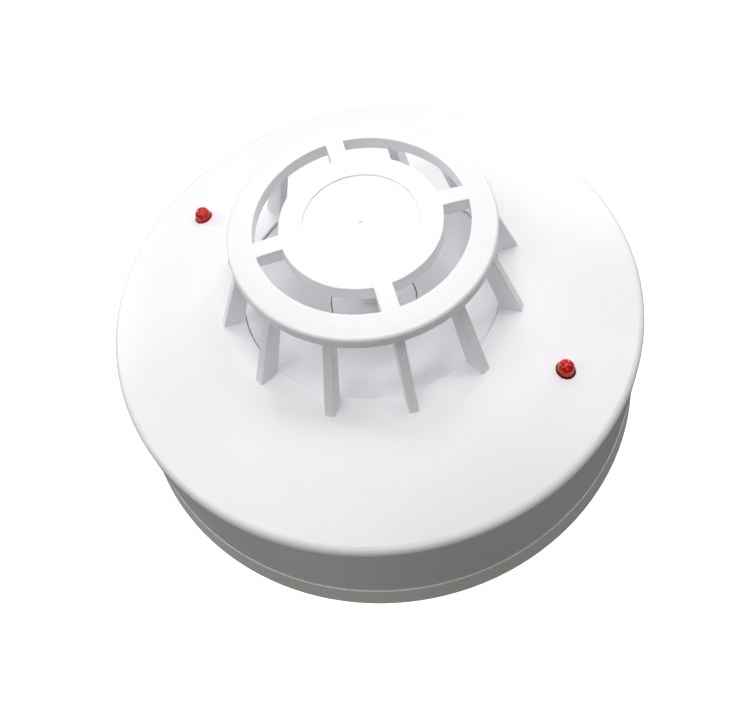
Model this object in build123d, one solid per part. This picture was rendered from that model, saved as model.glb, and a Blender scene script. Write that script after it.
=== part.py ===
"""Point heat detector: a white head with a vented sensor cage, twist-locked on its mounting base.

Millimetres. The origin is the centre of the base's back face, and +Z runs out through the cage.
"""

from build123d import *
import math
import os

# ---- overall shape -------------------------------------------------------------------------
RIM_RADIUS = 50.0  # the head's shoulder, the widest place
TOTAL_HEIGHT = 49.5
SKIRT_RADIUS = 49.1  # the head's lower edge, where the wall has drawn in
SKIRT_BOTTOM = 5.15
RIM_HEIGHT = 25.2  # where face and wall would meet without the shoulder's round
SHOULDER_FILLET = 1.7
COVER_START = 64  # azimuth at which the shell starts to be turned
FACE_BEND = 95.0  # radius of the gently domed front face's cross-section
COVER_WALL = 2.2
EDGE_ROUND = 0.25  # small rounds on moulded edges
FINE_ROUND = 0.17  # the same on the thinner parts

# ---- collar and sensor bowl ----------------------------------------------------------------
COLLAR_RADIUS = 28.9
COLLAR_TOP = 30.4
COLLAR_BLEND = 8.0  # round where the flat collar runs out into the face
COLLAR_HOLE = 24.1
COLLAR_UNDERSIDE = 27.5
BOWL_RADIUS = 23.95
BOWL_EDGE_Z = 29.8
BOWL_WALL = 1.8
BOWL_LINING_RADIUS = 21.9  # outer end of the dish's underside
BOWL_FLANGE_RADIUS = 26.2
BOWL_FLANGE_TOP = 27.2
BOWL_FLANGE_BOTTOM = 25.6
BOWL_LEG_CIRCLE = 24.6
BOWL_LEG_RADIUS = 1.3
BOWL_LEG_ANGLES = (90.0, 210.0, 330.0)
HOLDER_HOLE = 8.25  # hole in the bowl for the thermistor holder
HOLDER_HOLE_Z = 24.9

# ---- vented cage ---------------------------------------------------------------------------
CAGE_RADIUS = 23.6
CAGE_EDGE_ROUND = 0.75
CAGE_CROWN = 1.0  # how far the plate's top falls from the slots to its edge
CAGE_PLATE = 3.0
CAGE_LIP = 0.45  # how far the ring's underside drops towards its edge
SLOT_INNER = 14.35
SLOT_OUTER = 18.95
SPOKE_WIDTH = 3.2
RECESS_RADIUS = 10.15
RECESS_DEPTH = 0.25
RECESS_ROUND = 0.15
GATE_MARK_RADIUS = 0.35
GATE_MARK_HEIGHT = 0.2
VANE_COUNT = 12
VANE_THICKNESS = 1.8
VANE_FOOT = (24.35, 28.3)  # inner and outer radius where a vane stands on the collar
VANE_HEAD = (20.0, 22.68)  # the same at the height of the ring's lower edge
VANE_TOP = TOTAL_HEIGHT - 1.8  # a vane's root inside the plate

# ---- thermistor and its holder -------------------------------------------------------------
HOLDER_RADIUS = 8.09
HOLDER_EDGE_ROUND = 0.32
HOLDER_FLANGE_RADIUS = 10.0
HOLDER_FLANGE = (21.2, 22.6)
HOLDER_TUBE = (5.6, 6.8)
HOLDER_BAR = (4.6, 1.7)  # raised bar that the thermistor's wires come up through
HOLDER_BAR_TOP = 25.9
HOLDER_BAR_ANGLE = -15.0
BEAD_RADIUS = 1.3
BEAD_BOTTOM = 27.2
BEAD_CENTRE = 28.5
LEAD_RADIUS = 0.25
LEAD_HOLE = 0.4
THERMISTOR_PITCH = 1.27
NECK_MARGIN = 0.1  # coating round the wires where they enter the bead

# ---- indicator lamps -----------------------------------------------------------------------
LAMP_CIRCLE = 38.9
LAMP_ANGLES = {"left": 135.0, "right": -45.0}
LAMP_RADIUS = 1.5
LAMP_HOLE = 1.78
LAMP_DOME_Z = 29.4  # centre of the dome
LAMP_FLANGE_Z = 24.0
LAMP_FLANGE_HEIGHT = 1.0
LAMP_FLANGE_RADIUS = 1.95
LAMP_PITCH = 2.54
SPACER_RADIUS = 2.3

# ---- circuit board and chassis -------------------------------------------------------------
BOARD_RADIUS = 43.0
BOARD_BOTTOM = 15.2
BOARD_THICKNESS = 1.6
BOARD_TOP = BOARD_BOTTOM + BOARD_THICKNESS
LEAD_TAIL = 0.9  # how far a soldered lead stands out below the board
POST_CIRCLE = 34.5
POST_ANGLES = (30.0, 150.0, 270.0)
POST_RADIUS = 3.0
POST_TOP = 28.2
PILOT_RADIUS = 1.3
PILOT_TOP = 24.0
CHASSIS_RADIUS = 46.6
CHASSIS_BOTTOM = 10.9
CHASSIS_PLATE = 1.7
CHASSIS_TOP = CHASSIS_BOTTOM + CHASSIS_PLATE
CHASSIS_SKIRT = (38.6, 40.6)
CHASSIS_SKIRT_BOTTOM = 5.9
ASSEMBLY_SCREW_RADIUS = 1.25
ASSEMBLY_SCREW_HEAD = (2.7, 1.7)
ASSEMBLY_SCREW_TOP = 23.4
ASSEMBLY_SCREW_ROUND = 0.5
SCREW_CLEARANCE = 0.3
PILLAR_RADIUS = 3.2  # the chassis pillars under the board

# ---- components on the board ---------------------------------------------------------------
REFERENCE_ANGLE = 250.0
REFERENCE_CIRCLE = 31.0  # the reference thermistor sits here, out of the air stream
REFERENCE_BEAD_BOTTOM = BOARD_TOP + 2.4
CHIP_AT = (15.5, 3.0)
CHIP_SIZE = (3.9, 8.7)
CHIP_STANDOFF = 0.15
CHIP_HEIGHT = 1.5
CHIP_BEVEL = 0.3
CHIP_PIN_COUNT = 7  # on each side
CHIP_PIN_PITCH = 1.27
CHIP_PIN_METAL = 0.2
CHIP_PIN_REACH = (0.45, 0.65, 1.15)  # shoulder, knee and toe outside the body
DIODE_SIZE = (2.6, 4.3, 2.2)
DIODE_FIRST = (-6.0, -17.5)
DIODE_PITCH = 4.0
THYRISTOR_AT = (-15.5, 5.5)
THYRISTOR_RADIUS = 2.4
THYRISTOR_HEIGHT = 4.6
THYRISTOR_STANDOFF = 1.4
THYRISTOR_FLAT = 1.4  # distance of its flat face from its centre
SMOOTHING_CIRCLE, SMOOTHING_ANGLE = 33.0, 0.0
SMOOTHING_CAN = (4.0, 7.6)  # radius and height
TIMING_CIRCLE, TIMING_ANGLE = 32.0, 195.0
TIMING_CAN = (2.5, 6.6)
CAN_WAIST = (0.9, 1.2, 1.6, 1.9)  # heights of the crimp above the board
CAN_CRIMP = 0.3
CAN_BEVEL = 0.4
CHIP_PART = (1.25, 2.0)  # footprint of the small ceramic parts
CERAMIC_CIRCLE = 12.6
CERAMIC_ANGLES = (65.0, 100.0, 215.0, 290.0, 315.0, 340.0)
CERAMIC_HEIGHT = 1.0
RESISTOR_FIRST = (-6.5, 15.0)
RESISTOR_PITCH = (2.6, 3.2)
RESISTOR_ROWS, RESISTOR_COLUMNS = 2, 6
RESISTOR_HEIGHT = 0.55

# ---- twist lock ----------------------------------------------------------------------------
LOCK_ANGLES = (90.0, 210.0, 330.0)
LUG_ARC = 16.0
LUG_RADIUS = 42.9
LUG_HEIGHT = 2.2
HOOK_ARC = 19.0
HOOK_INNER = 41.2
HOOK_BOTTOM = 8.4
STOP_ARC = 1.4
STOP_BOTTOM = 5.6
STOP_OFFSET = 0.6  # the stop's start beyond the hook's end
ROOT_OVERLAP = 0.3  # how far a hook or a lug runs into the wall that carries it

# ---- mounting base -------------------------------------------------------------------------
BASE_BACK_RADIUS = 49.8
BASE_FRONT_RADIUS = 49.25
BASE_BAND = 4.9
BASE_BAND_BEVEL = 0.1
BASE_FLOOR = 2.4
BASE_RING = (43.2, 45.2)
BASE_RING_TOP = 10.4
BACK_GROOVE = (46.3, 48.1)
BACK_GROOVE_DEPTH = 3.0
CABLE_HOLE = 11.0
CABLE_COLLAR = (12.6, 3.6)
FIXING_SPACING = 60.0
FIXING_SLOT_LENGTH = 12.0
FIXING_SLOT_WIDTH = 4.5
FIXING_PAD = (18.0, 10.5, 3.2)

# ---- terminals -----------------------------------------------------------------------------
TERMINAL_ANGLES = (50.0, 130.0, 230.0, 310.0)
TERMINAL_CIRCLE = 27.0
TERMINAL_WIDTH = 8.0
TERMINAL_METAL = 1.0
TERMINAL_SEAT = 5.0  # height of the pillar that carries the plate
TERMINAL_START = -9.5
TERMINAL_SCREW_AT = -5.4
LEAF_RISE = (-0.5, 2.5)
LEAF_END = 8.5
LEAF_TOP = 8.0
LEAF_WIDTH = 5.5
LEAF_TIP = (1.1, 1.6)  # how far the down-turned tip runs on past the flat
PILLAR_MARGIN = 0.8  # pillar left on each side of the plate
WASHER_SIZE = 7.0
WASHER_THICKNESS = 0.8
SCREW_RADIUS = 1.75
SCREW_HOLE = 1.83
SCREW_BOTTOM = 1.3
SCREW_HOLE_BOTTOM = 1.0
SCREW_HEAD_RADIUS = 3.1
SCREW_HEAD_BOTTOM = TERMINAL_SEAT + TERMINAL_METAL + WASHER_THICKNESS + 0.05
SCREW_HEAD_HEIGHT = 2.0
SCREW_HEAD_ROUND = 0.6
CROSS_LENGTH, CROSS_WIDTH = 1.3, 0.28  # cross recess against the head's radius
BLADE_METAL = 0.8
BLADE_AT = 5.0
BLADE_WIDTH = 6.0
BLADE_CONTACT_BOTTOM = LEAF_TOP + 0.06
BLADE_FIXED = (-10.0, -4.2)
BLADE_CONTACT = (-2.6, 3.6)
PIN_AT = -7.2
PIN_RADIUS = 0.9
PIN_HOLE = 0.95
PIN_HEAD = (1.7, 0.7)
PIN_HEAD_ROUND = 0.4
PIN_TAIL = 0.6  # how far a pin stands out above the board
BEND_OFFSET = 0.3  # shift between the two sides of a bent strip


# ---- helpers -------------------------------------------------------------------------------
def polar(radius, angle):
    """X and Y of a point on a circle about the axis, the angle in degrees."""
    return (radius * math.cos(math.radians(angle)), radius * math.sin(math.radians(angle)))


def rod(radius, bottom, top, at=(0.0, 0.0)):
    """Upright cylinder on a vertical line."""
    height = top - bottom
    return Pos(at[0], at[1], bottom + height / 2) * Cylinder(radius, height)


def tube(inner, outer, bottom, top, at=(0.0, 0.0)):
    """Upright tube on a vertical line."""
    return rod(outer, bottom, top, at) - rod(inner, bottom, top, at)


def block(size_x, size_y, bottom, top, at=(0.0, 0.0)):
    """Upright box on a vertical line."""
    return Pos(at[0], at[1], (bottom + top) / 2) * Box(size_x, size_y, top - bottom)


def turned(*outline):
    """Solid of revolution about Z of a closed outline of (radius, height) curves."""
    return revolve(Plane.XZ * make_face(outline), Axis.Z)


def turned_points(*points):
    """Solid of revolution about Z of a closed polygon of (radius, height) points."""
    return turned(Polyline(*points, close=True))


def sector(inner, outer, bottom, top, centre_angle, arc):
    """Part of a ring between two radial planes."""
    outline = Polyline((inner, bottom), (outer, bottom), (outer, top), (inner, top), close=True)
    piece = revolve(Plane.XZ * make_face(outline), Axis.Z, revolution_arc=arc)
    return Rot(0, 0, centre_angle - arc / 2) * piece


def circle_edges(part, radius, height):
    """The full circular edges of a turned part at a radius and a height."""
    found = []
    for edge in part.edges().filter_by(GeomType.CIRCLE):
        centre = edge.arc_center
        on_axis = math.hypot(centre.X, centre.Y) < 0.01
        if on_axis and abs(edge.radius - radius) < 0.01 and abs(centre.Z - height) < 0.01:
            found.append(edge)
    return found


def group(pieces):
    """Several separate solids kept together as one node."""
    solids = []
    for piece in pieces:
        solids.extend(piece.solids())
    return Compound(children=solids)


def single(part):
    """The one solid of a finished piece."""
    solids = part.solids()
    if len(solids) != 1:
        raise ValueError(f"expected one solid, got {len(solids)}")
    return solids[0]


# ---- places shared by several pieces -------------------------------------------------------
def face_height(radius, below=0.0):
    """Height of the domed front face at a radius, or of a surface a distance below it."""
    run, drop = RIM_RADIUS - COLLAR_RADIUS, COLLAR_TOP - RIM_HEIGHT
    chord = math.hypot(run, drop)
    lift = math.sqrt(FACE_BEND**2 - chord**2 / 4)
    centre_r = (RIM_RADIUS + COLLAR_RADIUS) / 2 - lift * drop / chord
    centre_z = (RIM_HEIGHT + COLLAR_TOP) / 2 - lift * run / chord
    return centre_z + math.sqrt((FACE_BEND - below) ** 2 - (radius - centre_r) ** 2)


def bowl_height(radius):
    """Height of the sensor bowl's dished surface at a radius."""
    rise = (BOWL_EDGE_Z - HOLDER_HOLE_Z) / (BOWL_RADIUS**2 - HOLDER_HOLE**2)
    return HOLDER_HOLE_Z + rise * (radius**2 - HOLDER_HOLE**2)


def cage_underside(radius):
    """Height of the cage ring's underside at a radius outside the slots."""
    drop = CAGE_LIP * max(0.0, radius - SLOT_OUTER) / (CAGE_RADIUS - SLOT_OUTER)
    return TOTAL_HEIGHT - CAGE_PLATE - drop


def pair(at, angle, pitch):
    """Two points a pitch apart, square to the radial line through at."""
    dx, dy = polar(pitch / 2, angle + 90)
    return [(at[0] + dx, at[1] + dy), (at[0] - dx, at[1] - dy)]


def lamp_points():
    """Centres of the two lamps with their angles."""
    return [(polar(LAMP_CIRCLE, angle), angle) for angle in LAMP_ANGLES.values()]


def lamp_lead_points():
    """Where the lamps' wires run."""
    points = []
    for at, angle in lamp_points():
        points.extend(pair(at, angle, LAMP_PITCH))
    return points


def thermistor_lead_points():
    """Where the sensing thermistor's wires run, along the bar on its holder."""
    return pair((0.0, 0.0), HOLDER_BAR_ANGLE - 90, THERMISTOR_PITCH)


def reference_lead_points():
    """Where the reference thermistor's wires run."""
    return pair(polar(REFERENCE_CIRCLE, REFERENCE_ANGLE), REFERENCE_ANGLE, THERMISTOR_PITCH)


def thyristor_lead_points():
    """Where the thyristor's three legs run."""
    x, y = THYRISTOR_AT
    return [(x, y - THERMISTOR_PITCH), (x, y), (x, y + THERMISTOR_PITCH)]


def at_terminal(angle, piece):
    """Moves a piece from a terminal's own axes, x outward and y along the plate, to its place."""
    return Rot(0, 0, angle) * Pos(TERMINAL_CIRCLE, 0, 0) * piece


def terminal_point(angle, across, along):
    """X and Y of a point given in a terminal's own axes."""
    ux, uy = polar(1.0, angle)
    reach = TERMINAL_CIRCLE + across
    return (reach * ux - along * uy, reach * uy + along * ux)


# ---- head: moulded shell and cage ----------------------------------------------------------
def front_cover():
    """Shell with a domed face, a flat collar round the sensor opening and three screw posts."""
    inner_rim = RIM_RADIUS - COVER_WALL
    middle = (COLLAR_RADIUS + RIM_RADIUS) / 2
    inside_rim = (inner_rim, face_height(inner_rim, COVER_WALL))
    inside_middle = (middle, face_height(middle, COVER_WALL))
    inside_collar = (COLLAR_RADIUS, face_height(COLLAR_RADIUS, COVER_WALL))
    outline = [
        Polyline(
            inside_collar,
            (COLLAR_HOLE, COLLAR_UNDERSIDE),
            (COLLAR_HOLE, COLLAR_TOP),
            (COLLAR_RADIUS, COLLAR_TOP),
        ),
        ThreePointArc((COLLAR_RADIUS, COLLAR_TOP), (middle, face_height(middle)), (RIM_RADIUS, RIM_HEIGHT)),
        Polyline(
            (RIM_RADIUS, RIM_HEIGHT),
            (SKIRT_RADIUS, SKIRT_BOTTOM),
            (SKIRT_RADIUS - COVER_WALL, SKIRT_BOTTOM),
            inside_rim,
        ),
        ThreePointArc(inside_rim, inside_middle, inside_collar),
    ]
    shell = turned(*outline)
    shell = fillet(circle_edges(shell, RIM_RADIUS, RIM_HEIGHT), SHOULDER_FILLET)
    shell = fillet(circle_edges(shell, COLLAR_RADIUS, COLLAR_TOP), COLLAR_BLEND)
    shell = fillet(circle_edges(shell, COLLAR_HOLE, COLLAR_TOP), FINE_ROUND)
    shell = fillet(circle_edges(shell, SKIRT_RADIUS, SKIRT_BOTTOM), EDGE_ROUND)
    shell = Rot(Z=COVER_START) * shell
    for angle in POST_ANGLES:
        shell += rod(POST_RADIUS, BOARD_TOP, POST_TOP, polar(POST_CIRCLE, angle))
    for angle in POST_ANGLES:
        shell -= rod(PILOT_RADIUS, BOARD_TOP, PILOT_TOP, polar(POST_CIRCLE, angle))
    for at, _ in lamp_points():
        shell -= rod(LAMP_HOLE, BOARD_TOP, TOTAL_HEIGHT, at)
    return single(shell)


def cage_crown(radius):
    """Height of the cage plate's gently crowned top at a radius outside the slots' inner edge."""
    run = CAGE_RADIUS - CAGE_EDGE_ROUND - SLOT_INNER
    bend = (run**2 + CAGE_CROWN**2) / (2 * CAGE_CROWN)
    return TOTAL_HEIGHT - bend + math.sqrt(bend**2 - (radius - SLOT_INNER) ** 2)


def cage_profile():
    """Cross-section of the cage plate: crowned top, rounded edge, underside dropping to the ring."""
    top = TOTAL_HEIGHT
    round_start = CAGE_RADIUS - CAGE_EDGE_ROUND
    round_top = top - CAGE_CROWN
    round_low = round_top - CAGE_EDGE_ROUND
    crown_middle = (SLOT_INNER + round_start) / 2
    diagonal = CAGE_EDGE_ROUND * math.sqrt(0.5)
    return [
        Polyline(
            (SLOT_INNER, top),
            (0, top),
            (0, top - CAGE_PLATE),
            (SLOT_OUTER, cage_underside(SLOT_OUTER)),
            (CAGE_RADIUS, cage_underside(CAGE_RADIUS)),
            (CAGE_RADIUS, round_low),
        ),
        ThreePointArc(
            (CAGE_RADIUS, round_low),
            (round_start + diagonal, round_low + diagonal),
            (round_start, round_top),
        ),
        ThreePointArc((round_start, round_top), (crown_middle, cage_crown(crown_middle)), (SLOT_INNER, top)),
    ]


def cage_top():
    """Round plate over the cage, with four curved slots between cross spokes and a sunken centre."""
    top = TOTAL_HEIGHT
    below, above = top - 2 * CAGE_PLATE, top + 1
    plate = turned(*cage_profile())
    slots = tube(SLOT_INNER, SLOT_OUTER, below, above)
    slots -= block(4 * CAGE_RADIUS, SPOKE_WIDTH, below - 1, above + 1)
    slots -= block(SPOKE_WIDTH, 4 * CAGE_RADIUS, below - 1, above + 1)
    plate -= slots
    slot_edges = []
    for edge in plate.edges():
        middle = edge @ 0.5
        radius = math.hypot(middle.X, middle.Y)
        at_slot = SLOT_INNER - 0.1 < radius < SLOT_OUTER + 0.1
        if at_slot and middle.Z > top - CAGE_PLATE / 2:
            slot_edges.append(edge)
    plate = fillet(slot_edges, FINE_ROUND)
    plate = fillet(circle_edges(plate, CAGE_RADIUS, cage_underside(CAGE_RADIUS)), EDGE_ROUND)
    floor = top - RECESS_DEPTH
    plate -= rod(RECESS_RADIUS, floor, above)
    plate = fillet(circle_edges(plate, RECESS_RADIUS, top), RECESS_ROUND)
    plate += rod(GATE_MARK_RADIUS, floor - CAGE_PLATE / 2, floor + GATE_MARK_HEIGHT)
    return single(plate)


def vane(cage):
    """One upright fin: it stands on the collar and leans in to meet the cage ring."""
    head_z = cage_underside(CAGE_RADIUS)
    foot_in, foot_out = VANE_FOOT
    head_in, head_out = VANE_HEAD
    reach = (VANE_TOP - head_z) / (head_z - COLLAR_TOP)  # run on into the plate, cut off there
    outline = Polyline(
        (foot_in, COLLAR_TOP),
        (foot_out, COLLAR_TOP),
        (head_out, head_z),
        (head_out, VANE_TOP),
        (head_in + reach * (head_in - foot_in), VANE_TOP),
        (head_in, head_z),
        close=True,
    )
    fin = extrude(Plane.XZ * make_face(outline), amount=VANE_THICKNESS / 2, both=True)
    leaning_edges = []
    for edge in fin.edges():
        start, end = edge @ 0, edge @ 1
        if abs(start.Z - end.Z) > (head_z - COLLAR_TOP) / 2:
            leaning_edges.append(edge)
    fin = fillet(leaning_edges, EDGE_ROUND)
    return single(fin - cage)


def cage_vanes(cage):
    """Twelve fins round the cage, evenly spaced, one under each spoke."""
    pitch = 360 / VANE_COUNT
    fin = vane(cage)
    return group([Rot(0, 0, pitch * i) * fin for i in range(VANE_COUNT)])


def sensor_bowl():
    """Dished floor of the cage, held up against the collar by three legs on the board."""
    lining = BOWL_LINING_RADIUS
    middle = (HOLDER_HOLE + BOWL_RADIUS) / 2
    lining_middle = (HOLDER_HOLE + lining) / 2
    dish_start = (HOLDER_HOLE, bowl_height(HOLDER_HOLE))
    underside_start = (HOLDER_HOLE, bowl_height(HOLDER_HOLE) - BOWL_WALL)
    underside_middle = (lining_middle, bowl_height(lining_middle) - BOWL_WALL)
    underside_end = (lining, bowl_height(lining) - BOWL_WALL)
    outline = [
        ThreePointArc(dish_start, (middle, bowl_height(middle)), (BOWL_RADIUS, BOWL_EDGE_Z)),
        Polyline(
            (BOWL_RADIUS, BOWL_EDGE_Z),
            (BOWL_RADIUS, BOWL_FLANGE_TOP),
            (BOWL_FLANGE_RADIUS, BOWL_FLANGE_TOP),
            (BOWL_FLANGE_RADIUS, BOWL_FLANGE_BOTTOM),
            (lining, BOWL_FLANGE_BOTTOM),
            underside_end,
        ),
        ThreePointArc(underside_end, underside_middle, underside_start),
        Line(underside_start, dish_start),
    ]
    bowl = turned(*outline)
    bowl = fillet(circle_edges(bowl, BOWL_RADIUS, BOWL_EDGE_Z), FINE_ROUND)
    leg_top = (BOWL_FLANGE_BOTTOM + BOWL_FLANGE_TOP) / 2
    for angle in BOWL_LEG_ANGLES:
        bowl += rod(BOWL_LEG_RADIUS, BOARD_TOP, leg_top, polar(BOWL_LEG_CIRCLE, angle))
    return single(bowl)


# ---- head: sensing and indicating parts ----------------------------------------------------
def thermistor_holder():
    """Round plug that fills the bowl's middle, stands on the board and guides the wires."""
    flange_bottom, flange_top = HOLDER_FLANGE
    plug = turned_points(
        (0, flange_bottom),
        (HOLDER_FLANGE_RADIUS, flange_bottom),
        (HOLDER_FLANGE_RADIUS, flange_top),
        (HOLDER_RADIUS, flange_top),
        (HOLDER_RADIUS, HOLDER_HOLE_Z),
        (0, HOLDER_HOLE_Z),
    )
    plug = fillet(circle_edges(plug, HOLDER_RADIUS, HOLDER_HOLE_Z), HOLDER_EDGE_ROUND)
    bar = extrude(SlotOverall(*HOLDER_BAR), amount=HOLDER_BAR_TOP - flange_bottom)
    bar = fillet(bar.edges().group_by(Axis.Z)[-1], EDGE_ROUND)
    plug += Pos(0, 0, flange_bottom) * Rot(0, 0, HOLDER_BAR_ANGLE) * bar
    plug += tube(HOLDER_TUBE[0], HOLDER_TUBE[1], BOARD_TOP, flange_bottom)
    for at in thermistor_lead_points():
        plug -= rod(LEAD_HOLE, flange_bottom, HOLDER_BAR_TOP, at)
    return single(plug)


def bead(bottom, at):
    """Coated sensing bead: a round top on a short tapered neck."""
    centre = bottom + BEAD_CENTRE - BEAD_BOTTOM
    neck = THERMISTOR_PITCH / 2 + LEAD_RADIUS + NECK_MARGIN
    outline = [
        Polyline((0, centre + BEAD_RADIUS), (0, bottom), (neck, bottom), (BEAD_RADIUS, centre)),
        RadiusArc((BEAD_RADIUS, centre), (0, centre + BEAD_RADIUS), -BEAD_RADIUS),
    ]
    return Pos(at[0], at[1], 0) * single(turned(*outline))


def thermistor_leads():
    """Wire pairs of the sensing and the reference thermistor."""
    bottom = BOARD_BOTTOM - LEAD_TAIL
    wires = [rod(LEAD_RADIUS, bottom, BEAD_BOTTOM, at) for at in thermistor_lead_points()]
    wires += [rod(LEAD_RADIUS, bottom, REFERENCE_BEAD_BOTTOM, at) for at in reference_lead_points()]
    return group(wires)


def indicator_lamp(angle):
    """Three-millimetre lamp body with a domed end and a flange behind the cover."""
    flange_top = LAMP_FLANGE_Z + LAMP_FLANGE_HEIGHT
    tip = LAMP_DOME_Z + LAMP_RADIUS
    outline = [
        Polyline(
            (0, tip),
            (0, LAMP_FLANGE_Z),
            (LAMP_FLANGE_RADIUS, LAMP_FLANGE_Z),
            (LAMP_FLANGE_RADIUS, flange_top),
            (LAMP_RADIUS, flange_top),
            (LAMP_RADIUS, LAMP_DOME_Z),
        ),
        RadiusArc((LAMP_RADIUS, LAMP_DOME_Z), (0, tip), -LAMP_RADIUS),
    ]
    at = polar(LAMP_CIRCLE, angle)
    return Pos(at[0], at[1], 0) * single(turned(*outline))


def lamp_leads():
    """Two wires under each lamp."""
    bottom = BOARD_BOTTOM - LEAD_TAIL
    return group([rod(LEAD_RADIUS, bottom, LAMP_FLANGE_Z, at) for at in lamp_lead_points()])


def lamp_spacers():
    """Plastic spacers that hold the lamps at their height above the board."""
    spacers = []
    for at, angle in lamp_points():
        spacer = rod(SPACER_RADIUS, BOARD_TOP, LAMP_FLANGE_Z, at)
        for lead in pair(at, angle, LAMP_PITCH):
            spacer -= rod(LEAD_HOLE, BOARD_TOP, LAMP_FLANGE_Z, lead)
        spacers.append(spacer)
    return group(spacers)


# ---- head: circuit board and its components ------------------------------------------------
def circuit_board():
    """Round board, drilled for the screws, the contact pins and every soldered lead."""
    board = rod(BOARD_RADIUS, BOARD_BOTTOM, BOARD_TOP)
    for angle in POST_ANGLES:
        hole = ASSEMBLY_SCREW_RADIUS + SCREW_CLEARANCE
        board -= rod(hole, BOARD_BOTTOM, BOARD_TOP, polar(POST_CIRCLE, angle))
    for angle in TERMINAL_ANGLES:
        board -= rod(PIN_HOLE, BOARD_BOTTOM, BOARD_TOP, terminal_point(angle, PIN_AT, BLADE_AT))
    leads = lamp_lead_points() + thermistor_lead_points()
    leads += reference_lead_points() + thyristor_lead_points()
    for at in leads:
        board -= rod(LEAD_HOLE, BOARD_BOTTOM, BOARD_TOP, at)
    return single(board)


def comparator_chip():
    """Small-outline amplifier that compares the two thermistors."""
    bottom = BOARD_TOP + CHIP_STANDOFF
    body = block(CHIP_SIZE[0], CHIP_SIZE[1], bottom, bottom + CHIP_HEIGHT, CHIP_AT)
    return single(chamfer(body.edges().filter_by(Axis.Y).group_by(Axis.Z)[-1], CHIP_BEVEL))


def chip_pins():
    """Gull-wing pins down both sides of the chip."""
    half = CHIP_SIZE[0] / 2
    shoulder, knee, toe = CHIP_PIN_REACH
    low = BOARD_TOP
    metal = CHIP_PIN_METAL
    high = BOARD_TOP + CHIP_STANDOFF + CHIP_HEIGHT / 2
    wing = Polyline(
        (half, high),
        (half + shoulder, high),
        (half + knee, low + metal),
        (half + toe, low + metal),
        (half + toe, low),
        (half + knee - metal, low),
        (half + shoulder - metal, high - metal),
        (half, high - metal),
        close=True,
    )
    pin = extrude(Plane.XZ * make_face(wing), amount=CHIP_PIN_PITCH / 6, both=True)
    pins = []
    for side in (0, 180):
        for i in range(CHIP_PIN_COUNT):
            along = (i - (CHIP_PIN_COUNT - 1) / 2) * CHIP_PIN_PITCH
            pins.append(Pos(CHIP_AT[0], CHIP_AT[1] + along, 0) * Rot(0, 0, side) * pin)
    return group(pins)


def rectifier_diodes():
    """Four surface-mounted diodes that let the loop be wired either way round."""
    width, length, height = DIODE_SIZE
    first_x, y = DIODE_FIRST
    diodes = []
    for i in range(4):
        body = block(width, length, BOARD_TOP, BOARD_TOP + height, (first_x + DIODE_PITCH * i, y))
        top_edges = body.faces().sort_by(Axis.Z)[-1].edges()
        diodes.append(chamfer(top_edges, CHIP_BEVEL))
    return group(diodes)


def alarm_thyristor():
    """Three-legged switch that latches the alarm current: a round body with one flat face."""
    x, y = THYRISTOR_AT
    bottom = BOARD_TOP + THYRISTOR_STANDOFF
    top = bottom + THYRISTOR_HEIGHT
    body = rod(THYRISTOR_RADIUS, bottom, top, (x, y))
    cutter_at = (x + THYRISTOR_FLAT + THYRISTOR_RADIUS, y)
    body -= block(2 * THYRISTOR_RADIUS, 3 * THYRISTOR_RADIUS, bottom - 1, top + 1, cutter_at)
    return single(body)


def thyristor_leads():
    """The thyristor's three legs."""
    bottom, top = BOARD_BOTTOM - LEAD_TAIL, BOARD_TOP + THYRISTOR_STANDOFF
    return group([rod(LEAD_RADIUS, bottom, top, at) for at in thyristor_lead_points()])


def capacitor_can(size, at):
    """Radial capacitor with a crimped waist near its foot."""
    radius, height = size
    waist = [BOARD_TOP + level for level in CAN_WAIST]
    top = BOARD_TOP + height
    can = turned_points(
        (0, BOARD_TOP),
        (radius, BOARD_TOP),
        (radius, waist[0]),
        (radius - CAN_CRIMP, waist[1]),
        (radius - CAN_CRIMP, waist[2]),
        (radius, waist[3]),
        (radius, top - CAN_BEVEL),
        (radius - CAN_BEVEL, top),
        (0, top),
    )
    return Pos(at[0], at[1], 0) * single(can)


def small_block(height, at):
    """One small ceramic part flat on the board."""
    return block(CHIP_PART[0], CHIP_PART[1], BOARD_TOP, BOARD_TOP + height, at)


def ceramic_capacitors():
    """Small ceramic capacitors round the middle of the board."""
    return group([small_block(CERAMIC_HEIGHT, polar(CERAMIC_CIRCLE, angle)) for angle in CERAMIC_ANGLES])


def chip_resistors():
    """Two rows of chip resistors."""
    pieces = []
    for row in range(RESISTOR_ROWS):
        y = RESISTOR_FIRST[1] + RESISTOR_PITCH[1] * row
        for i in range(RESISTOR_COLUMNS):
            pieces.append(small_block(RESISTOR_HEIGHT, (RESISTOR_FIRST[0] + RESISTOR_PITCH[0] * i, y)))
    return group(pieces)


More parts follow.
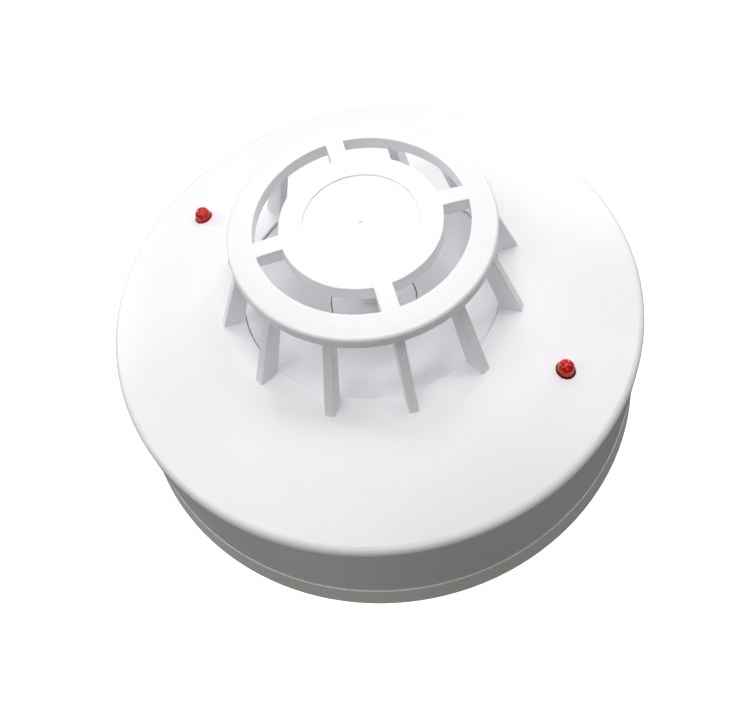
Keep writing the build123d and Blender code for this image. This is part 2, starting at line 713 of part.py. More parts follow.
# ---- head: back of the head ----------------------------------------------------------------
def rear_chassis():
    """Back plate of the head, with board pillars in front and the twist-lock skirt behind."""
    skirt_in, skirt_out = CHASSIS_SKIRT
    chassis = rod(CHASSIS_RADIUS, CHASSIS_BOTTOM, CHASSIS_TOP)
    chassis += tube(skirt_in, skirt_out, CHASSIS_SKIRT_BOTTOM, CHASSIS_BOTTOM + ROOT_OVERLAP)
    for angle in LOCK_ANGLES:
        root = skirt_out - ROOT_OVERLAP
        lug_top = CHASSIS_SKIRT_BOTTOM + LUG_HEIGHT
        chassis += sector(root, LUG_RADIUS, CHASSIS_SKIRT_BOTTOM, lug_top, angle, LUG_ARC)
    for angle in POST_ANGLES:
        at = polar(POST_CIRCLE, angle)
        chassis += rod(PILLAR_RADIUS, CHASSIS_TOP - ROOT_OVERLAP, BOARD_BOTTOM, at)
        chassis -= rod(ASSEMBLY_SCREW_RADIUS + SCREW_CLEARANCE, CHASSIS_BOTTOM, BOARD_BOTTOM, at)
    for angle in TERMINAL_ANGLES:
        chassis -= rod(PIN_HOLE, CHASSIS_BOTTOM, CHASSIS_TOP, terminal_point(angle, PIN_AT, BLADE_AT))
    return single(chassis)


def cross_recess(radius, top, depth, at):
    """Cutter for a cross slot in a screw head."""
    long_side, short_side = CROSS_LENGTH * radius, CROSS_WIDTH * radius
    cutter = block(long_side, short_side, top - depth, top + depth, at)
    return cutter + block(short_side, long_side, top - depth, top + depth, at)


def assembly_screws():
    """Three screws from behind, through the chassis and the board into the cover's posts."""
    head_radius, head_height = ASSEMBLY_SCREW_HEAD
    bottom = CHASSIS_BOTTOM - head_height
    screws = []
    for angle in POST_ANGLES:
        at = polar(POST_CIRCLE, angle)
        head = rod(head_radius, bottom, CHASSIS_BOTTOM, at)
        head = fillet(head.edges().group_by(Axis.Z)[0], ASSEMBLY_SCREW_ROUND)
        screw = head + rod(ASSEMBLY_SCREW_RADIUS, CHASSIS_BOTTOM - ROOT_OVERLAP, ASSEMBLY_SCREW_TOP, at)
        screws.append(screw - cross_recess(head_radius, bottom, head_height / 2, at))
    return group(screws)


def contact_blades():
    """Bent strips under the chassis that wipe onto the base's spring leaves."""
    fixed_start, fixed_end = BLADE_FIXED
    contact_start, contact_end = BLADE_CONTACT
    low = BLADE_CONTACT_BOTTOM
    high = CHASSIS_BOTTOM
    outline = Polyline(
        (fixed_start, high - BLADE_METAL),
        (fixed_end - BEND_OFFSET, high - BLADE_METAL),
        (contact_start - BEND_OFFSET, low),
        (contact_end, low),
        (contact_end, low + BLADE_METAL),
        (contact_start, low + BLADE_METAL),
        (fixed_end, high),
        (fixed_start, high),
        close=True,
    )
    blade = extrude(Plane.XZ * make_face(outline), amount=BLADE_WIDTH / 2, both=True)
    blade -= rod(PIN_HOLE, 0, TOTAL_HEIGHT, (PIN_AT, 0))
    return group([at_terminal(angle, Pos(0, BLADE_AT, 0) * blade) for angle in TERMINAL_ANGLES])


def contact_pins():
    """Riveted pins that carry the current from the blades up to the board."""
    head_radius, head_height = PIN_HEAD
    head_top = CHASSIS_BOTTOM - BLADE_METAL
    pins = []
    for angle in TERMINAL_ANGLES:
        at = terminal_point(angle, PIN_AT, BLADE_AT)
        head = rod(head_radius, head_top - head_height, head_top, at)
        head = fillet(head.edges().group_by(Axis.Z)[0], PIN_HEAD_ROUND)
        pins.append(head + rod(PIN_RADIUS, head_top - PIN_HEAD_ROUND / 2, BOARD_TOP + PIN_TAIL, at))
    return group(pins)


# ---- base ----------------------------------------------------------------------------------
def mounting_base():
    """Tray that is screwed to the ceiling: outer band, lock ring with hooks, terminal pillars."""
    ring_in, ring_out = BASE_RING
    base = turned_points(
        (0, 0),
        (BASE_BACK_RADIUS - EDGE_ROUND, 0),
        (BASE_BACK_RADIUS, EDGE_ROUND),
        (BASE_FRONT_RADIUS, BASE_BAND - BASE_BAND_BEVEL),
        (BASE_FRONT_RADIUS - BASE_BAND_BEVEL, BASE_BAND),
        (ring_out, BASE_BAND),
        (ring_out, BASE_RING_TOP),
        (ring_in, BASE_RING_TOP),
        (ring_in, BASE_FLOOR),
        (0, BASE_FLOOR),
    )
    for angle in LOCK_ANGLES:
        root = ring_in + ROOT_OVERLAP
        base += sector(HOOK_INNER, root, HOOK_BOTTOM, BASE_RING_TOP, angle, HOOK_ARC)
        stop_angle = angle - HOOK_ARC / 2 + STOP_ARC / 2 - STOP_OFFSET
        stop_top = HOOK_BOTTOM + ROOT_OVERLAP
        base += sector(HOOK_INNER, root, STOP_BOTTOM, stop_top, stop_angle, STOP_ARC)
    collar_radius, collar_top = CABLE_COLLAR
    base += rod(collar_radius, BASE_FLOOR - ROOT_OVERLAP, collar_top)
    pad_length, pad_width, pad_top = FIXING_PAD
    for side in (-1, 1):
        pad_at = (side * FIXING_SPACING / 2, 0)
        base += block(pad_length, pad_width, BASE_FLOOR - ROOT_OVERLAP, pad_top, pad_at)
    for angle in TERMINAL_ANGLES:
        length = LEAF_RISE[0] - TERMINAL_START
        middle = (LEAF_RISE[0] + TERMINAL_START) / 2
        width = TERMINAL_WIDTH + 2 * PILLAR_MARGIN
        pillar = block(width, length, BASE_FLOOR - ROOT_OVERLAP, TERMINAL_SEAT, (0, middle))
        base += at_terminal(angle, pillar)
    base -= rod(CABLE_HOLE, -1, collar_top + 1)
    for side in (-1, 1):
        slot = extrude(SlotOverall(FIXING_SLOT_LENGTH, FIXING_SLOT_WIDTH), amount=2 * pad_top, both=True)
        base -= Pos(side * FIXING_SPACING / 2, 0, 0) * slot
    base -= tube(BACK_GROOVE[0], BACK_GROOVE[1], -1, BACK_GROOVE_DEPTH)
    for angle in TERMINAL_ANGLES:
        at = terminal_point(angle, 0, TERMINAL_SCREW_AT)
        base -= rod(SCREW_HOLE, SCREW_HOLE_BOTTOM, TERMINAL_SEAT, at)
    return single(base)


def terminal_plates():
    """Brass strips: flat under the clamp screw, then bent up into a spring leaf."""
    seat = TERMINAL_SEAT
    metal = TERMINAL_METAL
    rise_start, rise_end = LEAF_RISE
    outline = Polyline(
        (TERMINAL_START, seat),
        (rise_start, seat),
        (rise_end, LEAF_TOP - metal),
        (LEAF_END, LEAF_TOP - metal),
        (LEAF_END + LEAF_TIP[0], LEAF_TOP - 1.7 * metal),
        (LEAF_END + LEAF_TIP[1], LEAF_TOP - metal),
        (LEAF_END, LEAF_TOP),
        (rise_end - BEND_OFFSET, LEAF_TOP),
        (rise_start - BEND_OFFSET, seat + metal),
        (TERMINAL_START, seat + metal),
        close=True,
    )
    strip = extrude(Plane.YZ * make_face(outline), amount=TERMINAL_WIDTH / 2, both=True)
    trim = (TERMINAL_WIDTH - LEAF_WIDTH) / 2
    for side in (-1, 1):
        at = (side * (TERMINAL_WIDTH - trim) / 2, rise_end + TERMINAL_WIDTH / 2)
        strip -= block(trim, TERMINAL_WIDTH, seat + metal, LEAF_TOP + 1, at)
    strip -= rod(SCREW_HOLE, 0, TOTAL_HEIGHT, (0, TERMINAL_SCREW_AT))
    return group([at_terminal(angle, strip) for angle in TERMINAL_ANGLES])


def clamp_washers():
    """Square washers that press the wires onto the plates."""
    bottom = TERMINAL_SEAT + TERMINAL_METAL
    top = bottom + WASHER_THICKNESS
    washer = block(WASHER_SIZE, WASHER_SIZE, bottom, top, (0, TERMINAL_SCREW_AT))
    washer -= rod(SCREW_HOLE, 0, TOTAL_HEIGHT, (0, TERMINAL_SCREW_AT))
    return group([at_terminal(angle, washer) for angle in TERMINAL_ANGLES])


def terminal_screw(angle):
    """Clamp screw of one terminal."""
    at = terminal_point(angle, 0, TERMINAL_SCREW_AT)
    top = SCREW_HEAD_BOTTOM + SCREW_HEAD_HEIGHT
    head = rod(SCREW_HEAD_RADIUS, SCREW_HEAD_BOTTOM, top, at)
    head = fillet(head.edges().group_by(Axis.Z)[-1], SCREW_HEAD_ROUND)
    screw = head + rod(SCREW_RADIUS, SCREW_BOTTOM, SCREW_HEAD_BOTTOM + ROOT_OVERLAP, at)
    return single(screw - cross_recess(SCREW_HEAD_RADIUS, top, SCREW_HEAD_HEIGHT / 2, at))


# ---- all nodes -----------------------------------------------------------------------------
def build_nodes():
    """Every named piece of the detector."""
    cage = cage_top()
    nodes = {
        "front_cover": front_cover(),
        "cage_top": cage,
        "cage_vanes": cage_vanes(cage),
        "sensor_bowl": sensor_bowl(),
        "thermistor_holder": thermistor_holder(),
        "thermistor_bead": bead(BEAD_BOTTOM, (0.0, 0.0)),
        "reference_thermistor": bead(REFERENCE_BEAD_BOTTOM, polar(REFERENCE_CIRCLE, REFERENCE_ANGLE)),
        "thermistor_leads": thermistor_leads(),
        "lamp_leads": lamp_leads(),
        "lamp_spacers": lamp_spacers(),
        "circuit_board": circuit_board(),
        "comparator_chip": comparator_chip(),
        "chip_pins": chip_pins(),
        "rectifier_diodes": rectifier_diodes(),
        "alarm_thyristor": alarm_thyristor(),
        "thyristor_leads": thyristor_leads(),
        "smoothing_capacitor": capacitor_can(SMOOTHING_CAN, polar(SMOOTHING_CIRCLE, SMOOTHING_ANGLE)),
        "timing_capacitor": capacitor_can(TIMING_CAN, polar(TIMING_CIRCLE, TIMING_ANGLE)),
        "ceramic_capacitors": ceramic_capacitors(),
        "chip_resistors": chip_resistors(),
        "rear_chassis": rear_chassis(),
        "assembly_screws": assembly_screws(),
        "contact_blades": contact_blades(),
        "contact_pins": contact_pins(),
        "mounting_base": mounting_base(),
        "terminal_plates": terminal_plates(),
        "clamp_washers": clamp_washers(),
    }
    for side, angle in LAMP_ANGLES.items():
        nodes[f"indicator_lamp_{side}"] = indicator_lamp(angle)
    for i, angle in enumerate(TERMINAL_ANGLES, start=1):
        nodes[f"terminal_screw_{i}"] = terminal_screw(angle)
    return nodes


def main():
    """Writes one file for each node."""
    os.makedirs("parts", exist_ok=True)
    for name, shape in build_nodes().items():
        export_step(shape, f"parts/{name}.step")
        print(f"{name}: {len(shape.solids())} solid(s), {shape.volume:.1f} mm3")


main()
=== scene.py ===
"""Looks of the point heat detector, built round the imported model. Metres, same frame as the model."""

import math

import bpy
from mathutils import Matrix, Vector

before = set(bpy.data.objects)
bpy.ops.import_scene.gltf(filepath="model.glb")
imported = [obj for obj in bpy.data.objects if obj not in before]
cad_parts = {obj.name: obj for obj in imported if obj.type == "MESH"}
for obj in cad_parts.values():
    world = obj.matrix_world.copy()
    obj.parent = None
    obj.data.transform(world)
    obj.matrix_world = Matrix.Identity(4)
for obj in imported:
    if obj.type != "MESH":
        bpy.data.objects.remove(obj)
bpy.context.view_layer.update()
MM = 0.001
MICRON = 0.000001
WHITE = (1.0, 1.0, 1.0, 1.0)
EVEN = (1.0, 1.0, 1.0)  # no stretch along any axis

# ---- camera --------------------------------------------------------------------------------
CAMERA_PLACE = (-14.957 * MM, -115.445 * MM, 198.22 * MM)
CAMERA_TURN = (35.857, 6.128, -14.787)  # degrees
LENS = 52.862  # mm
SENSOR = 36.0  # mm
SHIFT = (0.0267, -0.14)  # in widths of the picture
NEAR_CLIP = 10 * MM
FAR_CLIP = 10.0

# ---- stage ---------------------------------------------------------------------------------
FLOOR_HALF = 2.0
FLOOR_DROP = 0.05 * MM  # keeps the floor clear of the base's back face
FLOOR_ALBEDO = 0.9
FLOOR_ROUGHNESS = 0.6
FLOOR_GLOW = 1.0
WORLD_LIGHT = 0.07
LIGHT_DISTANCE = 1.0
LIGHT_SIZE = 0.35
LIGHT_AIM = Vector((0.0, 0.0, 30 * MM))
HIGH_WATTS = 1.5  # of each soft box above and round the object
LOW_WATTS = 3.0  # of each of the two low ones behind it
# elevation, azimuths and watts of each ring of soft boxes; azimuth 90 is behind the object
LIGHT_RINGS = (
    (90, (0,), HIGH_WATTS),
    (65, (30, 90, 210), HIGH_WATTS),
    (40, (0, 90, 180, 270), HIGH_WATTS),
    (15, (45, 135), LOW_WATTS),
)
UNDER_LIGHT = (-60, 90, 1.5)  # from below and behind, for looks at the back face


def link(obj):
    """Puts a new object into the scene."""
    bpy.context.scene.collection.objects.link(obj)
    return obj


def make_camera():
    """The camera that sees the object from above and in front."""
    data = bpy.data.cameras.new("camera")
    camera = link(bpy.data.objects.new("camera", data))
    bpy.context.scene.camera = camera
    data.sensor_width = SENSOR
    data.lens = LENS
    data.shift_x, data.shift_y = SHIFT
    data.clip_start = NEAR_CLIP
    data.clip_end = FAR_CLIP
    camera.location = CAMERA_PLACE
    camera.rotation_euler = [math.radians(turn) for turn in CAMERA_TURN]


# ---- material building blocks --------------------------------------------------------------
NOISE_LOW = 0.3  # smooth noise mostly lies between these two
NOISE_HIGH = 0.7


def feed(tree, socket, value):
    """Links a socket to another one, or sets its value."""
    if isinstance(value, bpy.types.NodeSocket):
        tree.links.new(value, socket)
    elif isinstance(value, tuple) and len(value) == 3 and socket.type == "RGBA":
        socket.default_value = (*value, 1.0)
    else:
        socket.default_value = value


def add(tree, kind, sockets=None, **settings):
    """A new shader node with its settings and inputs."""
    made = tree.nodes.new("ShaderNode" + kind)
    for name, value in settings.items():
        setattr(made, name, value)
    for name, value in (sockets or {}).items():
        feed(tree, made.inputs[name], value)
    return made


def place(tree, stretch=EVEN, **settings):
    """A node that gives the position on the piece, in metres, stretched along its axes."""
    coordinates = add(tree, "TexCoord").outputs["Object"]
    return add(tree, "Mapping", {"Vector": coordinates, "Scale": stretch}, **settings)


def noise(tree, size, detail=2.0, stretch=EVEN):
    """Smooth random value from 0 to 1 whose patches are about this size."""
    sockets = {"Vector": place(tree, stretch).outputs[0], "Scale": 1 / size, "Detail": detail}
    return add(tree, "TexNoise", sockets).outputs[0]


def ranged(tree, value, low, high, to_low=0.0, to_high=1.0):
    """A value moved from one range to another and held inside it."""
    sockets = {"Value": value, "From Min": low, "From Max": high, "To Min": to_low, "To Max": to_high}
    return add(tree, "MapRange", sockets).outputs[0]


def clouds(tree, size, detail=2.0, low=0.0, high=1.0):
    """Noise drawn out from the stretch it mostly keeps to, so that it fills a range."""
    return ranged(tree, noise(tree, size, detail), NOISE_LOW, NOISE_HIGH, low, high)


def maths(tree, operation, first, second):
    """One sum of two values."""
    return add(tree, "Math", {0: first, 1: second}, operation=operation).outputs[0]


def blended(tree, factor, first, second):
    """Mix of two colours."""
    return add(tree, "Mix", {0: factor, 6: first, 7: second}, data_type="RGBA").outputs[2]


def bumped(tree, height, depth, below=None):
    """Normal for a height from 0 to 1 that stands this many metres proud, on top of another bump."""
    sockets = {"Height": height, "Distance": depth, "Strength": 1.0}
    if below is not None:
        sockets["Normal"] = below
    return add(tree, "Bump", sockets).outputs[0]


def facing_up(tree):
    """1 where the surface of the unturned piece faces straight out along Z or back, 0 on its sides."""
    normal = add(tree, "TexCoord").outputs["Normal"]
    height = add(tree, "SeparateXYZ", {0: normal}).outputs[2]
    return maths(tree, "ABSOLUTE", height, 0.0)


def finish(name, colour, roughness, normal, **constants):
    """A material round a principled shader: colour, roughness and normal are functions of its tree."""
    material = bpy.data.materials.new(name)
    material.use_nodes = True
    tree = material.node_tree
    shader = tree.nodes["Principled BSDF"]
    feed(tree, shader.inputs["Base Color"], colour(tree))
    feed(tree, shader.inputs["Roughness"], roughness(tree))
    feed(tree, shader.inputs["Normal"], normal(tree))
    for socket, value in constants.items():
        shader.inputs[socket.replace("_", " ")].default_value = value
    return material


# ---- moulded plastics ----------------------------------------------------------------------
DUST_CELL = 2.2 * MM
DUST_RADIUS = 0.13 * MM
DUST_SHARE = 0.16  # share of the cells that hold a speck
DUST_COLOUR = (0.30, 0.28, 0.25)
DUST_STRENGTH = 0.55
SCRATCH_CELL = 1.6 * MM  # across the scratches
SCRATCH_REACH = 14.0  # times longer than wide
SCRATCH_HALF = 0.055 * MM
SCRATCH_SHARE = 0.05
SCRATCH_TURNS = (35.0, 118.0)  # degrees, one set of marks along each
SCRATCH_COLOUR = (0.45, 0.44, 0.42)
SCRATCH_STRENGTH = 0.45
SCRATCH_DEPTH = 2 * MICRON
FLOW_SIZE = 22 * MM  # patches of the faint flow tint
FLOW_RANGE = (0.35, 0.65)
SATIN_SIZE = 5 * MM  # patches of more and less gloss
SATIN_SPREAD = (0.04, 0.05)  # how far the roughness goes below and above its middle
WAVE_SIZE = 9 * MM
WAVE_DEPTH = 8 * MICRON
GRAIN_SIZE = 0.28 * MM
LAMP_GLOW = (0.6 * MM, 0.06 * MM, 0.04 * MM)  # how far red, green and blue light soak in
LAMP_CLEARNESS = 0.35


def specks(tree, vector, cell, radius, share):
    """1 inside small round spots in this share of the cells."""
    cells = add(tree, "TexVoronoi", {"Vector": vector, "Scale": 1 / cell})
    near = ranged(tree, cells.outputs["Distance"], radius / cell, radius / cell / 2)
    pick = add(tree, "SeparateColor", {0: cells.outputs["Color"]}).outputs[0]
    return maths(tree, "MULTIPLY", near, maths(tree, "LESS_THAN", pick, share))


def dust(tree):
    """1 inside sparse dust specks."""
    return specks(tree, place(tree).outputs[0], DUST_CELL, DUST_RADIUS, DUST_SHARE)


def hairlines(tree):
    """1 along a few short, hair-thin handling marks that lie in two directions."""
    sets = []
    for turn in SCRATCH_TURNS:
        along = place(tree, (1.0, SCRATCH_REACH, 1.0), vector_type="TEXTURE")
        along.inputs["Rotation"].default_value = (0.0, 0.0, math.radians(turn))
        sets.append(specks(tree, along.outputs[0], SCRATCH_CELL, SCRATCH_HALF, SCRATCH_SHARE))
    return maths(tree, "MAXIMUM", *sets)


def moulded(name, colour, shade, roughness, grain, marks=True):
    """Satin moulded plastic: faint flow tint, fine tool texture, and dust and hairlines if handled."""

    def tinted(tree):
        flow = ranged(tree, noise(tree, FLOW_SIZE, detail=3.0), *FLOW_RANGE)
        body = blended(tree, flow, colour, shade)
        if not marks:
            return body
        scratched = maths(tree, "MULTIPLY", hairlines(tree), SCRATCH_STRENGTH)
        marked = blended(tree, scratched, body, SCRATCH_COLOUR)
        dusty = maths(tree, "MULTIPLY", dust(tree), DUST_STRENGTH)
        return blended(tree, dusty, marked, DUST_COLOUR)

    def satin(tree):
        below, above = SATIN_SPREAD
        return clouds(tree, SATIN_SIZE, detail=3.0, low=roughness - below, high=roughness + above)

    def textured(tree):
        waves = bumped(tree, noise(tree, WAVE_SIZE, detail=1.0), WAVE_DEPTH)
        fine = bumped(tree, noise(tree, GRAIN_SIZE), grain, waves)
        if not marks:
            return fine
        return bumped(tree, hairlines(tree), -SCRATCH_DEPTH, fine)

    return finish(name, tinted, satin, textured)


def shell_plastic():
    """White plastic of the cover and its cage."""
    colours = (0.865, 0.856, 0.878), (0.848, 0.842, 0.864)
    return moulded("shell plastic", *colours, roughness=0.40, grain=1.6 * MICRON)


def shaded_bowl_plastic():
    """Shell white made slightly darker as painted shade of the cage over the bowl and the plug, which nobody
    touches.
    """
    # painted shade: same plastic as the shell, its colour darkened for the shade inside the cage
    colours = (0.815, 0.81, 0.83), (0.80, 0.795, 0.815)
    return moulded("bowl plastic with painted shade", *colours, roughness=0.42, grain=1.6 * MICRON, marks=False)


def shaded_base_plastic():
    """Darker, warmer white of the mounting base: painted shade, with the greenish shade tint low at the
    front.
    """
    # painted shade: darker and warmer than the shell white, standing in for the shade on the low band
    colours = (0.77, 0.77, 0.725), (0.75, 0.755, 0.71)
    return moulded("base plastic with painted shade", *colours, roughness=0.44, grain=2 * MICRON)


def chassis_plastic():
    """Duller plastic of the head's back plate."""
    colours = (0.74, 0.74, 0.71), (0.70, 0.70, 0.67)
    return moulded("chassis plastic", *colours, roughness=0.55, grain=5 * MICRON, marks=False)


def spacer_plastic():
    """Black plastic of the lamp spacers."""
    colours = (0.03, 0.03, 0.031), (0.045, 0.044, 0.043)
    return moulded("spacer plastic", *colours, roughness=0.5, grain=3 * MICRON, marks=False)


def clear_red():
    """Tinted epoxy of a lamp: light soaks in and glows along the far edges, under a clear gloss."""

    def colour(tree):
        cloud = clouds(tree, 0.9 * MM, detail=2.0)
        return blended(tree, cloud, (0.80, 0.022, 0.014), (0.68, 0.014, 0.009))

    def roughness(tree):
        return clouds(tree, 0.5 * MM, low=0.02, high=0.06)

    def normal(tree):
        return bumped(tree, noise(tree, 1.2 * MM, detail=1.0), 4 * MICRON)

    made = finish("lamp epoxy", colour, roughness, normal, IOR=1.52)
    shader = made.node_tree.nodes["Principled BSDF"]
    shader.inputs["Subsurface Weight"].default_value = 1.0
    shader.inputs["Subsurface Radius"].default_value = LAMP_GLOW
    shader.inputs["Subsurface Scale"].default_value = 1.0
    shader.inputs["Transmission Weight"].default_value = LAMP_CLEARNESS
    return made


# ---- board and components ------------------------------------------------------------------
COPPER_STEP = 0.9 * MM  # copper areas keep to squares of this size
COPPER_PATCH = 5 * MM
COPPER_HEIGHT = 35 * MICRON
BOARD_FACE = 0.7  # facing_up above this is a face of the board, below it an edge
CAN_END = 0.8  # facing_up above this is the end of a capacitor's can


def circuit_laminate():
    """Green solder mask over blocky copper, with the bare laminate on the drilled and cut edges."""

    def copper(tree):
        vectors = {0: place(tree).outputs[0], 1: (COPPER_STEP,) * 3}
        grid = add(tree, "VectorMath", vectors, operation="SNAP").outputs[0]
        blocks = add(tree, "TexNoise", {"Vector": grid, "Scale": 1 / COPPER_PATCH, "Detail": 0.0})
        return maths(tree, "GREATER_THAN", blocks.outputs[0], 0.5)

    def colour(tree):
        mask = blended(tree, copper(tree), (0.012, 0.10, 0.035), (0.03, 0.19, 0.06))
        weave = blended(tree, noise(tree, 0.4 * MM), (0.42, 0.40, 0.20), (0.55, 0.52, 0.28))
        return blended(tree, maths(tree, "GREATER_THAN", facing_up(tree), BOARD_FACE), weave, mask)

    def roughness(tree):
        return clouds(tree, 3 * MM, low=0.28, high=0.40)

    def normal(tree):
        raised = bumped(tree, copper(tree), COPPER_HEIGHT)
        return bumped(tree, noise(tree, 0.35 * MM), 3 * MICRON, raised)

    return finish("circuit board", colour, roughness, normal)


def black_epoxy():
    """Moulded black epoxy of the chip, the diodes, the thyristor and the chip resistors."""

    def colour(tree):
        return blended(tree, noise(tree, 0.35 * MM, detail=3.0), (0.016, 0.016, 0.018), (0.035, 0.034, 0.033))

    def roughness(tree):
        return clouds(tree, 1.2 * MM, low=0.48, high=0.62)

    def normal(tree):
        return bumped(tree, noise(tree, 0.12 * MM, detail=3.0), 6 * MICRON)

    return finish("chip epoxy", colour, roughness, normal)


def fired_ceramic():
    """Tan ceramic blocks with a speckled body."""

    def colour(tree):
        return blended(tree, noise(tree, 0.25 * MM, detail=4.0), (0.50, 0.36, 0.22), (0.66, 0.52, 0.36))

    def roughness(tree):
        return clouds(tree, 0.5 * MM, low=0.45, high=0.6)

    def normal(tree):
        return bumped(tree, noise(tree, 0.1 * MM, detail=2.0), 4 * MICRON)

    return finish("ceramic", colour, roughness, normal)


def can_and_sleeve():
    """Dark shrunk sleeve round the capacitors' sides, bare aluminium on their ends."""

    def end(tree):
        return maths(tree, "GREATER_THAN", facing_up(tree), CAN_END)

    def colour(tree):
        sleeve = blended(tree, noise(tree, 2 * MM), (0.02, 0.026, 0.05), (0.035, 0.042, 0.075))
        metal = blended(tree, noise(tree, 0.4 * MM, detail=3.0), (0.62, 0.62, 0.63), (0.75, 0.75, 0.76))
        return blended(tree, end(tree), sleeve, metal)

    def roughness(tree):
        return clouds(tree, 0.9 * MM, detail=3.0, low=0.22, high=0.36)

    def normal(tree):
        return bumped(tree, noise(tree, 1.1 * MM), 9 * MICRON)

    made = finish("capacitor sleeve", colour, roughness, normal)
    tree = made.node_tree
    feed(tree, tree.nodes["Principled BSDF"].inputs["Metallic"], end(tree))
    return made


def dipped_epoxy():
    """Dipped coat of a thermistor bead."""

    def colour(tree):
        return blended(tree, noise(tree, 0.5 * MM, detail=3.0), (0.34, 0.28, 0.20), (0.46, 0.40, 0.30))

    def roughness(tree):
        return clouds(tree, 0.6 * MM, low=0.16, high=0.28)

    def normal(tree):
        return bumped(tree, noise(tree, 0.45 * MM, detail=2.0), 14 * MICRON)

    return finish("bead coat", colour, roughness, normal)


# ---- metals --------------------------------------------------------------------------------
METAL_SPREAD = (0.05, 0.08)  # how far the roughness goes below and above its middle


def metal(name, bright, dull, roughness, cloud, grain, depth, stretch=EVEN):
    """Metal with clouded brightness and a drawn, rolled or plated grain."""

    def colour(tree):
        return blended(tree, clouds(tree, cloud, detail=3.0), bright, dull)

    def polish(tree):
        below, above = METAL_SPREAD
        return clouds(tree, cloud / 2, low=roughness - below, high=roughness + above)

    def normal(tree):
        return bumped(tree, noise(tree, grain, stretch=stretch), depth)

    return finish(name, colour, polish, normal, Metallic=1.0)


def tinned_wire():
    """Tinned leads and pins, drawn along Z."""
    colours = (0.80, 0.80, 0.81), (0.66, 0.66, 0.68)
    sizes = {"cloud": 2 * MM, "grain": 0.15 * MM, "depth": 2 * MICRON, "stretch": (1, 1, 0.08)}
    return metal("tinned wire", *colours, roughness=0.22, **sizes)


def rolled_brass():
    """Brass strip of the plates and blades, rolled along Y."""
    colours = (0.84, 0.64, 0.30), (0.68, 0.49, 0.21)
    sizes = {"cloud": 4 * MM, "grain": 0.25 * MM, "depth": 2 * MICRON, "stretch": (1, 0.1, 1)}
    return metal("rolled brass", *colours, roughness=0.26, **sizes)


def bright_zinc():
    """Zinc plating of the screws and washers."""
    colours = (0.76, 0.77, 0.80), (0.60, 0.61, 0.65)
    sizes = {"cloud": 1.5 * MM, "grain": 0.3 * MM, "depth": 3 * MICRON}
    return metal("bright zinc", *colours, roughness=0.30, **sizes)


# ---- which piece has which material --------------------------------------------------------
def dress():
    """Gives every node its material."""
    screws = [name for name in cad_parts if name.startswith("terminal_screw_")]
    wearers = {
        shell_plastic: ("front_cover", "cage_top", "cage_vanes"),
        shaded_bowl_plastic: ("sensor_bowl", "thermistor_holder"),
        shaded_base_plastic: ("mounting_base",),
        chassis_plastic: ("rear_chassis",),
        spacer_plastic: ("lamp_spacers",),
        clear_red: ("indicator_lamp_left", "indicator_lamp_right"),
        circuit_laminate: ("circuit_board",),
        black_epoxy: ("comparator_chip", "rectifier_diodes", "alarm_thyristor", "chip_resistors"),
        fired_ceramic: ("ceramic_capacitors",),
        can_and_sleeve: ("smoothing_capacitor", "timing_capacitor"),
        dipped_epoxy: ("thermistor_bead", "reference_thermistor"),
        tinned_wire: ("thermistor_leads", "lamp_leads", "chip_pins", "thyristor_leads", "contact_pins"),
        rolled_brass: ("terminal_plates", "contact_blades"),
        bright_zinc: ("assembly_screws", "clamp_washers", *screws),
    }
    for make_material, names in wearers.items():
        material = make_material()
        for name in names:
            wear(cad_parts[name], material)


def wear(obj, material):
    """Puts a material into all of a node's slots."""
    for slot in obj.material_slots:
        slot.material = material
    if not obj.material_slots:
        obj.data.materials.append(material)


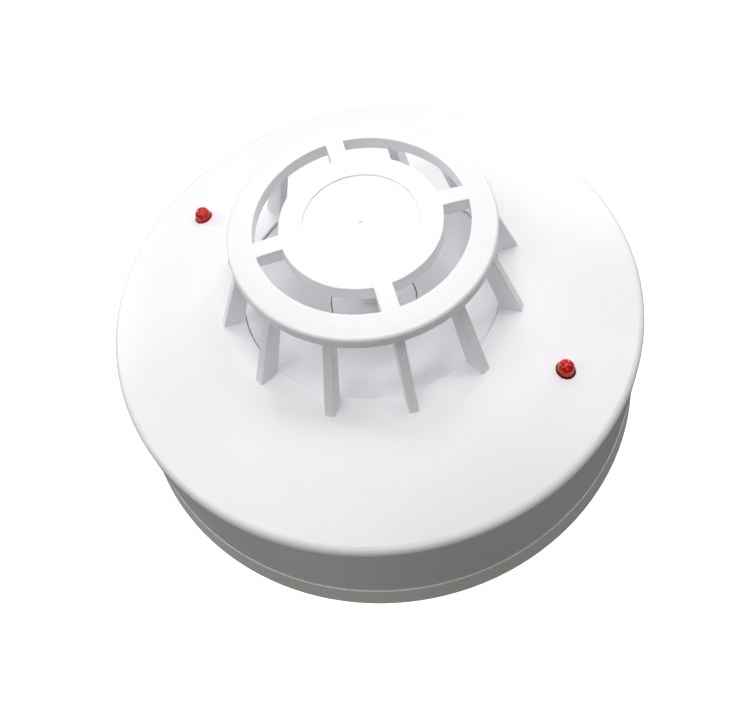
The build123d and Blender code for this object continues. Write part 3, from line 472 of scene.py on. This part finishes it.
# ---- floor, world and lights ---------------------------------------------------------------
def make_floor():
    """Pale floor that glows a little and is clear from below."""
    mesh = bpy.data.meshes.new("floor")
    corners = [(-1, -1), (1, -1), (1, 1), (-1, 1)]
    mesh.from_pydata([(x * FLOOR_HALF, y * FLOOR_HALF, -FLOOR_DROP) for x, y in corners], [], [(0, 1, 2, 3)])
    floor = link(bpy.data.objects.new("floor", mesh))
    material = bpy.data.materials.new("floor")
    material.use_nodes = True
    tree = material.node_tree
    shader = tree.nodes["Principled BSDF"]
    shader.inputs["Base Color"].default_value = (FLOOR_ALBEDO, FLOOR_ALBEDO, FLOOR_ALBEDO, 1)
    shader.inputs["Roughness"].default_value = FLOOR_ROUGHNESS
    shader.inputs["Emission Color"].default_value = WHITE
    shader.inputs["Emission Strength"].default_value = FLOOR_GLOW
    below = add(tree, "NewGeometry").outputs["Backfacing"]
    clear = add(tree, "BsdfTransparent").outputs[0]
    both = add(tree, "MixShader", {0: below, 1: shader.outputs[0], 2: clear}).outputs[0]
    tree.links.new(both, tree.nodes["Material Output"].inputs["Surface"])
    mesh.materials.append(material)
    floor.visible_diffuse = False
    floor.visible_glossy = False
    floor.visible_shadow = False


def make_world():
    """Even grey light, and the floor's own tone where the floor ends."""
    world = bpy.data.worlds.new("world")
    bpy.context.scene.world = world
    world.use_nodes = True
    tree = world.node_tree
    background = tree.nodes["Background"]
    background.inputs["Color"].default_value = WHITE
    seen = add(tree, "LightPath").outputs["Is Camera Ray"]
    strength = ranged(tree, seen, 0.0, 1.0, WORLD_LIGHT, FLOOR_GLOW)
    tree.links.new(strength, background.inputs["Strength"])


def soft_box(name, elevation, azimuth, watts):
    """Round soft light on a sphere about the object."""
    data = bpy.data.lights.new(name, "AREA")
    data.shape = "DISK"
    data.energy = watts
    data.size = LIGHT_SIZE
    light = link(bpy.data.objects.new(name, data))
    e, a = math.radians(elevation), math.radians(azimuth)
    outward = Vector((math.cos(e) * math.cos(a), math.cos(e) * math.sin(a), math.sin(e)))
    light.location = LIGHT_AIM + LIGHT_DISTANCE * outward
    light.rotation_euler = outward.to_track_quat("Z", "Y").to_euler()


def make_lights():
    """The soft boxes ring by ring, and the one below."""
    places = [(high, azimuth, watts) for high, azimuths, watts in LIGHT_RINGS for azimuth in azimuths]
    for i, (elevation, azimuth, watts) in enumerate(places):
        soft_box(f"soft_box_{i}", elevation, azimuth, watts)
    soft_box("under_light", *UNDER_LIGHT)


bpy.context.scene.view_settings.view_transform = "Standard"
make_camera()
make_floor()
make_world()
make_lights()
dress()
